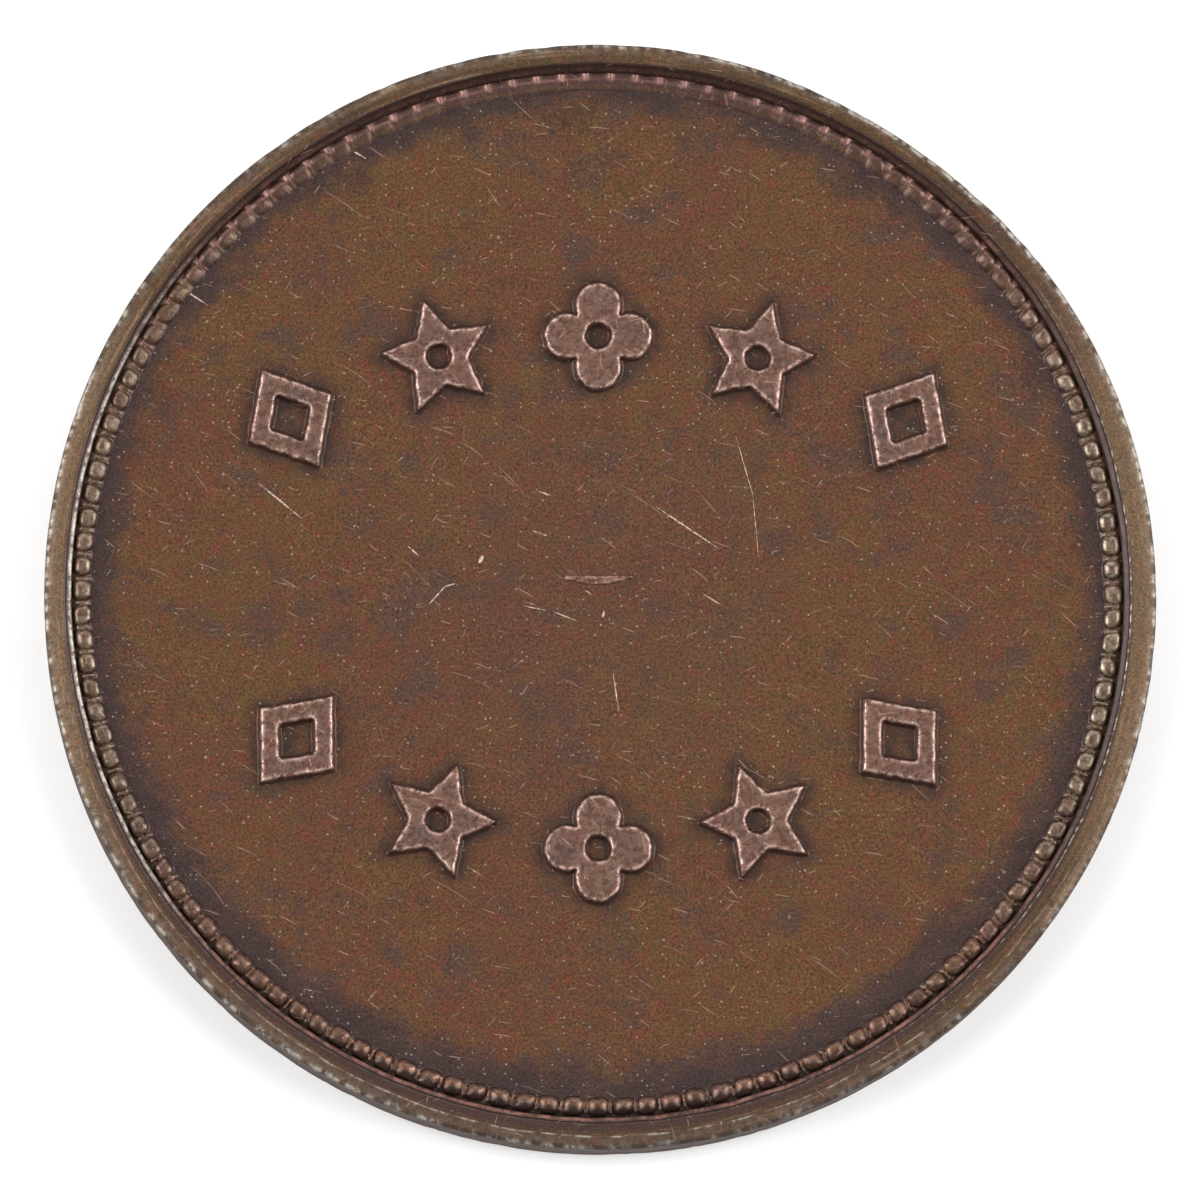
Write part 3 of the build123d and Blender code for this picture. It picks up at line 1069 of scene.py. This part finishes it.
def makeRim(side):
    count = rim["turns"]
    angle = np.arange(count) * 2 * math.pi / count
    across, up = np.cos(angle), np.sin(angle)
    loss = edgeLoss(signs[side] * angle)
    seed = 61 if side == "front" else 62
    nick = makeNicks(angle, np.random.RandomState(seed))
    chatter = 0.5 + 0.5 * ripple(12 * across, 12 * up, 0.5, 14, seed + 3)
    chip = 0.5 + 0.5 * ripple(12 * across, 12 * up, 0.24, 16, seed + 4)
    weak = bell(angle, 92, 74)
    # Four stretches of the edge are painted bright, as rubbed metal with painted highlight
    bright = 1.4 * bell(angle, 48, 36) + 1.0 * bell(angle, 170, 26)
    bright += 0.7 * bell(angle, 235, 30) + 0.4 * bell(angle, 2, 20)

    rings, marks = [], {"wear": [], "side": [], "halo": []}

    def add(radius, height, centre, wear, edge=0.0, shadow=0.0):
        x = centre[0] + radius * across
        y = centre[1] + radius * up
        rings.append(np.column_stack((x, y, np.broadcast_to(token["fieldHeight"] + height, count))))
        for key, value in (("wear", wear), ("side", edge), ("halo", shadow)):
            marks[key].append(np.broadcast_to(np.clip(value, 0, 1), count))

    for radius, height, wear, shadow in rimDieRun:
        # Where the strike is weak the steps run together into one slope
        slope = 0.30 * smoothStep(radius, 11.76, 12.03)
        height = height + (slope - height) * 0.65 * weak * (height > 0)
        wave = 0.004 * ripple(11 * across, 11 * up, 0.8, 12, seed + 9) * (radius > 11.83)
        wear = wear * (0.5 + 0.7 * chatter) * (1 - 0.8 * weak)
        if 11.840 < radius < 11.880:  # painted highlight on the bevel at the left of the design
            wear = wear + 0.7 * bell(angle, 178, 34)
        if 11.965 < radius < 11.990:  # chipped at the right of it
            wear = wear + 0.9 * bell(angle, 350, 34) * np.clip(3 * chip - 1.3, 0, 1)
        add(radius + wave, height, token["dieCentre"], wear, shadow=shadow * (1 - weak))
    # The crease shows round the foot of the design and fades out towards its sides
    fade = bell(angle, 265, 58)
    wave = 0.006 * ripple(11 * across, 11 * up, 1.3, 12, seed + 12)
    for radius, height, wear in rimFlanRun:
        plain = rim["landHeight"] - 0.0225 * ((12.25 - radius) / 0.265) ** 2
        level = plain + (height - plain) * fade
        add(radius + wave, level, (0, 0), wear * fade * np.clip(2.2 * chatter - 0.5, 0.15, 1))
    for share in (0.25, 0.5, 0.75):
        run = rim["cornerCentre"] - loss - nick - rim["landInner"]
        lift = 0.0015 * ripple(9 * across, 9 * up, 1.0, 10, seed + int(40 * share))
        level = rim["landHeight"] - 0.0015 * (share < 0.3) - 0.009 * max(share - 0.3, 0) ** 2 / 0.49
        add(rim["landInner"] + run * share, level + lift, (0, 0), 0.05 + 0.1 * share**2)
    foot = smoothStep(-up, 0.35, 0.8)
    spots = np.clip(3.2 * (0.4 * chatter + 0.6 * chip) - 1.5 + 0.8 * bright, 0, 1.4)
    # Painted shade: a dark line round the corner at the foot of the design, less where the edge is bright, with
    # dark patches all round
    cornerShadeAndDirt = np.maximum(0.9 * foot * np.clip(1 - 0.7 * bright, 0, 1), np.clip(1.5 - 1.9 * chatter, 0, 0.8))
    for share in np.linspace(0, 1, 9):
        # Round the outer corner
        turn = math.radians(84 - 84 * share)
        radius = rim["cornerCentre"] + rim["cornerRadius"] * math.cos(turn) - loss - nick * (1.1 - 0.5 * share)
        height = rim["cornerTop"] - rim["cornerRadius"] * (1 - math.sin(turn)) - 0.6 * nick * math.sin(turn)
        wear = math.sin(2 * turn) * (0.05 + spots * (0.35 + 1.05 * bright)) + 6 * nick
        add(radius, height, (0, 0), wear, edge=share, shadow=math.sin(2 * turn) * cornerShadeAndDirt)
    for height in (0.16, 0.08, 0.0):
        radius = token["radius"] - loss - 0.4 * nick * height / 0.218
        add(radius, height, (0, 0), 0.5 * np.clip(2.6 * chatter - 1.3, 0, 1), edge=1.0)
    add(rim["underRadius"], 0.0, (0, 0), 0.0, edge=1.0)

    piece = makePiece(f"{side}EdgeRim", rings, side, marks, 60.0)
    settle(piece, f"{side}_rim", materials["rim"])


beads = {
    "count": 132,
    "circle": 11.585,
    "halfLength": 0.236,  # along the border
    "halfWidth": 0.212,  # across it
    "height": 0.185,
    "flatShare": 0.88,  # worn tops, as a share of the full dome
    "samplesPerBead": 20,
    "inner": 11.34,
    "outer": 11.80,
    "across": 20,
    "webHeight": 0.085,
    "webWidth": 0.045,
    "linkHeight": 0.030,  # line that joins the wedges at the top
    "corner": 3.2,  # power of the rounded square: 2 is a circle
    "levelling": 22,  # how sharply a dome turns into its flat top
    "smooth": 0.02,  # fillet where a bead meets the ground
    "sunk": 0.04,  # how far the underside lies below the field
}


def makeBeads(side):
    count = beads["count"]
    perBead = beads["samplesPerBead"]
    draw = np.random.RandomState(81 if side == "front" else 82)
    pitch = 2 * math.pi / count
    angle = (np.arange(count * perBead) - perBead / 2) * pitch / perBead
    bead = np.arange(count * perBead) // perBead
    lift = draw.uniform(0.86, 1.0, count)
    size = draw.uniform(0.94, 1.05, count)
    slide = draw.uniform(-0.018, 0.018, count)
    skew = draw.uniform(-0.25, 0.25, count)
    inward = draw.uniform(-0.012, 0.012, count)
    flat = draw.uniform(0.84, 1.08, count)
    patchy = draw.uniform(0.0, 1.0, count)
    # The strike is weaker at the top of the design
    middles = np.arange(count) * pitch
    weak = bell(middles, 92, 58)
    foot = bell(middles, 268, 50)
    brightening = bell(middles, 356, 44)  # painted highlight, strongest at the right
    lift *= 1 - 0.84 * weak
    size *= 1 - 0.06 * weak
    flat *= 1 + 0.25 * foot
    along = (angle - bead * pitch) * beads["circle"] - slide[bead]
    rings, wear, halo, tone, faint, tips = [], [], [], [], [], []
    for step in range(beads["across"] + 1):
        radius = beads["inner"] + (beads["outer"] - beads["inner"]) * step / beads["across"]
        out = radius - beads["circle"] - inward[bead]
        u = (along + skew[bead] * out) / (beads["halfLength"] * size[bead])
        v = out / (beads["halfWidth"] * size[bead])
        reach = (np.abs(u) ** beads["corner"] + np.abs(v) ** beads["corner"]) ** (1 / beads["corner"])
        dome = np.sqrt(np.clip(1 - reach**2, 0, 1))
        # A worn dome levels off towards its flat share
        level = beads["flatShare"] * flat[bead]
        dome = dome - np.log1p(np.exp((dome - level) * beads["levelling"])) / beads["levelling"]
        height = beads["height"] * lift[bead] * np.clip(dome, 0, 1) / beads["flatShare"] * 0.98
        # Where the strike is weak the inner half is missing
        height = height * (1 - weak[bead] * (1 - smoothStep(radius, 11.38, 11.64)))
        # Outside its outline a bead stays under the field
        height = height - 0.02 * (1 - smoothStep(dome, 0.0, 0.3))
        # Low webs stand across the gaps between beads, highest at the rim
        gap = ((angle / pitch) % 1.0 - 0.5) * pitch * beads["circle"]
        slope = smoothStep(radius, 11.36, 11.52) * (1 - smoothStep(radius, 11.70, 11.79) * 0.95)
        slope += (smoothStep(radius, 11.50, 11.68) * 0.6 - slope) * weak[bead]
        # Where the strike is weak they spread into small wedges that point at the rim
        spread = beads["webWidth"] + 0.09 * weak[bead] * (1 - smoothStep(radius, 11.60, 11.80))
        web = beads["webHeight"] * slope * np.exp(-((gap / spread) ** 2)) * (0.8 - 0.15 * weak[bead])
        link = math.exp(-(((radius - 11.66) / 0.022) ** 2))
        web = np.maximum(web, beads["linkHeight"] * weak[bead] * link)
        floor = -0.012 + 0.018 * smoothStep(radius, 11.34, 11.52) + web
        total = np.maximum(height, floor)
        fillet = np.clip(beads["smooth"] - np.abs(height - floor), 0, beads["smooth"])
        total = total + fillet**2 / (4 * beads["smooth"])
        x = token["dieCentre"][0] + radius * np.cos(angle)
        y = token["dieCentre"][1] + radius * np.sin(angle)
        rings.append(np.column_stack((x, y, token["fieldHeight"] + total)))
        peak = np.clip(height / (beads["height"] * 0.8), 0, 1)
        crown = np.exp(-(((peak - 0.82) / 0.22) ** 2)) * (0.35 + 0.65 * lift[bead] * flat[bead])
        tip = np.clip(web / beads["webHeight"], 0, 1) ** 2 * (1 - weak[bead])
        # At the top only the tips of the wedges, and a line between them, are rubbed
        wedge = smoothStep(radius, 11.59, 11.67) * (1 - smoothStep(radius, 11.76, 11.80))
        wedge = wedge * np.exp(-((gap / 0.09) ** 2))
        line = 0.5 * patchy[bead] * math.exp(-(((radius - 11.665) / 0.025) ** 2))
        wedge = weak[bead] * np.maximum(wedge * (0.55 + 0.45 * patchy[bead]), line)
        # Painted highlight on the crowns: only on their inner half at the foot of the design, less at the top,
        # more at the right
        crown = crown * (1 - 0.85 * foot[bead] * smoothStep(radius, 11.54, 11.63))
        crown = crown * (1 - 0.8 * weak[bead]) * (1 + 0.7 * brightening[bead])
        wear.append(np.clip(crown * 0.7 + 0.9 * tip * (height < floor), 0, 1))
        # Painted shade, with some dirt, in the gaps and behind the beads towards the rim, darkest over the beads'
        # outer half at the foot of the design
        outwards = smoothStep(radius, 11.40, 11.70)
        shadow = np.clip(1 - total / 0.07, 0, 1) * (0.5 + (0.2 + 0.45 * foot[bead]) * outwards)
        shadow = np.maximum(shadow, foot[bead] * smoothStep(radius, 11.55, 11.64))
        halo.append(np.clip(shadow * (1 - 0.95 * weak[bead]) * smoothStep(radius, 11.355, 11.385), 0, 1))
        tone.append(1 - smoothStep(radius, 11.40, 11.52) + 0 * angle)
        faint.append(weak[bead] * smoothStep(radius, 11.45, 11.62))
        tips.append(wedge)
    for end in (rings[-1], rings[0]):
        under = end.copy()
        under[:, 2] = token["fieldHeight"] - beads["sunk"]
        rings.append(under)
        for values, level in ((wear, 0.0), (halo, 1.0), (tone, 1.0), (faint, 0.0), (tips, 0.0)):
            values.append(np.full(len(under), level))
    marks = {"wear": wear, "halo": halo, "tone": tone, "weak": faint, "tip": tips}
    piece = makePiece(f"{side}BeadBorder", rings, side, marks, 80.0)
    settle(piece, f"{side}_beads", materials["bead"])


makeFlan()
print("flan built")
for side in signs:
    makeRim(side)
    makeBeads(side)
    makeDash(side)
    makeOrnaments(side)
    print(side, "face built")


# The studio is in metres
studio = {
    "floorSize": 1.2,
    "floorTone": (0.98, 0.98, 0.98, 1.0),
    "floorGlow": 0.07,
    "worldLevel": 0.285,
    "lamps": [  # name, place, size, power in watts
        ("leftLamp", (-0.34, 0.02, 0.26), (0.26, 0.42), 2.0),
        ("rightLamp", (0.34, 0.02, 0.26), (0.26, 0.42), 2.0),
        ("farLamp", (0.0, 0.32, 0.27), (0.40, 0.20), 0.50),
    ],
}


def makeFloor():
    corner = studio["floorSize"] / 2
    corners = [(x, y, 0) for x, y in ((-corner, -corner), (corner, -corner), (corner, corner), (-corner, corner))]
    mesh = bpy.data.meshes.new("paleFloor")
    mesh.from_pydata(corners, [], [(0, 1, 2, 3)])
    floor = bpy.data.objects.new("paleFloor", mesh)
    bpy.context.scene.collection.objects.link(floor)
    material, _, shader = startMaterial("paleCard", 0.0, 0.9)
    shader.inputs["Base Color"].default_value = studio["floorTone"]
    shader.inputs["Emission Color"].default_value = (1.0, 1.0, 1.0, 1.0)
    shader.inputs["Emission Strength"].default_value = studio["floorGlow"]
    mesh.materials.append(material)


def makeLamp(name, spot, size, power):
    # A soft rectangular lamp that faces the token
    light = bpy.data.lights.new(name, "AREA")
    light.shape = "RECTANGLE"
    light.size, light.size_y = size
    light.energy = power
    lamp = bpy.data.objects.new(name, light)
    lamp.location = spot
    lamp.rotation_euler = (-Vector(spot)).to_track_quat("-Z", "Y").to_euler()
    bpy.context.scene.collection.objects.link(lamp)


def makeStudio():
    world = bpy.data.worlds.new("softRoom")
    world.use_nodes = True
    background = world.node_tree.nodes["Background"]
    background.inputs["Color"].default_value = (1.0, 1.0, 1.0, 1.0)
    background.inputs["Strength"].default_value = studio["worldLevel"]
    bpy.context.scene.world = world
    for lamp in studio["lamps"]:
        makeLamp(*lamp)
    bpy.context.scene.view_settings.view_transform = "Standard"


camera = {
    "lens": 400.0,
    "sensor": 36.0,
    "view": 27.01,  # width of the view at the token
    "aim": (0.0, -0.034),
    "lean": 6.8,  # off the token's axis
    "heading": (-0.292, -0.956),
    "clip": (0.01, 5.0),
}


def makeCamera():
    lens = bpy.data.cameras.new("studioCamera")
    lens.lens = camera["lens"]
    lens.sensor_width = camera["sensor"]
    lens.clip_start, lens.clip_end = camera["clip"]
    eye = bpy.data.objects.new("studioCamera", lens)
    lean = math.radians(camera["lean"])
    backward = Vector((*(part * math.sin(lean) for part in camera["heading"]), math.cos(lean))).normalized()
    distance = camera["view"] * mm * camera["lens"] / camera["sensor"]
    eye.location = Vector((*camera["aim"], token["midHeight"])) * mm + backward * distance
    # The frame's upright follows +Y
    right = Vector((0, 1, 0)).cross(backward).normalized()
    upward = backward.cross(right)
    eye.rotation_mode = "QUATERNION"
    turn = np.array((right, upward, backward)).T.tolist()
    eye.rotation_quaternion = Matrix(turn).to_quaternion()
    bpy.context.scene.collection.objects.link(eye)
    bpy.context.scene.camera = eye


makeFloor()
makeStudio()
makeCamera()
print("studio built")
